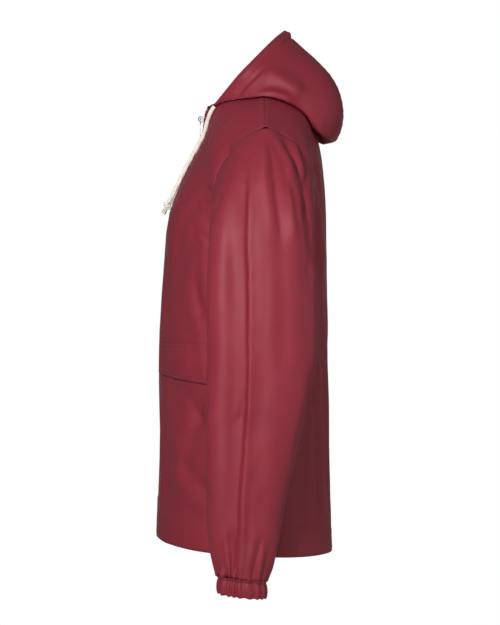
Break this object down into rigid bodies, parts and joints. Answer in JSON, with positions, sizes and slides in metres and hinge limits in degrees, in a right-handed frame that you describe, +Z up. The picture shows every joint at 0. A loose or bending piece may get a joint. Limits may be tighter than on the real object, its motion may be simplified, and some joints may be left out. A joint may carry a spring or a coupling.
{
  "type": "hooded raincoat",
  "caption": "Hollow zip-front raincoat in worn shape, with set-in sleeves, gathered cuffs, pocket flaps and a hood with drawcords.",
  "frame": {"origin": "middle of the neck opening at shoulder height, where the wearer carries the coat", "axes": "+Z up, -Y to the front with the zip, +X to the wearer's left sleeve"},
  "size_m": [0.6746, 0.2901, 0.8438],
  "materials": {
    "coated_cloth": "matte satin maroon coated cloth",
    "zip_tape": "woven maroon tape",
    "zip_metal": "dull grey metal",
    "cotton_cord": "twisted natural cotton"
  },
  "bodies": {
    "coat": {"back_panel": "coated_cloth", "front_left": "coated_cloth", "front_right": "coated_cloth", "sleeve_left": "coated_cloth", "sleeve_right": "coated_cloth", "cuff_left": "coated_cloth", "cuff_right": "coated_cloth", "hood_left": "coated_cloth", "hood_right": "coated_cloth", "flap_left": "coated_cloth", "flap_right": "coated_cloth", "zip_tape": "zip_tape", "zip_slider": "zip_metal", "drawcord_left": "cotton_cord", "drawcord_right": "cotton_cord", "knot_left": "cotton_cord", "knot_right": "cotton_cord"},
    "pull_tab": {"zip_pull": "zip_metal"}
  },
  "joints": [
    {"name": "pull_swing", "type": "hinge", "parent": "coat", "child": "pull_tab", "pos_m": [0, -0.0956, -0.0313], "axis": [-1, 0, 0], "range_deg": [0, 150]}
  ]
}
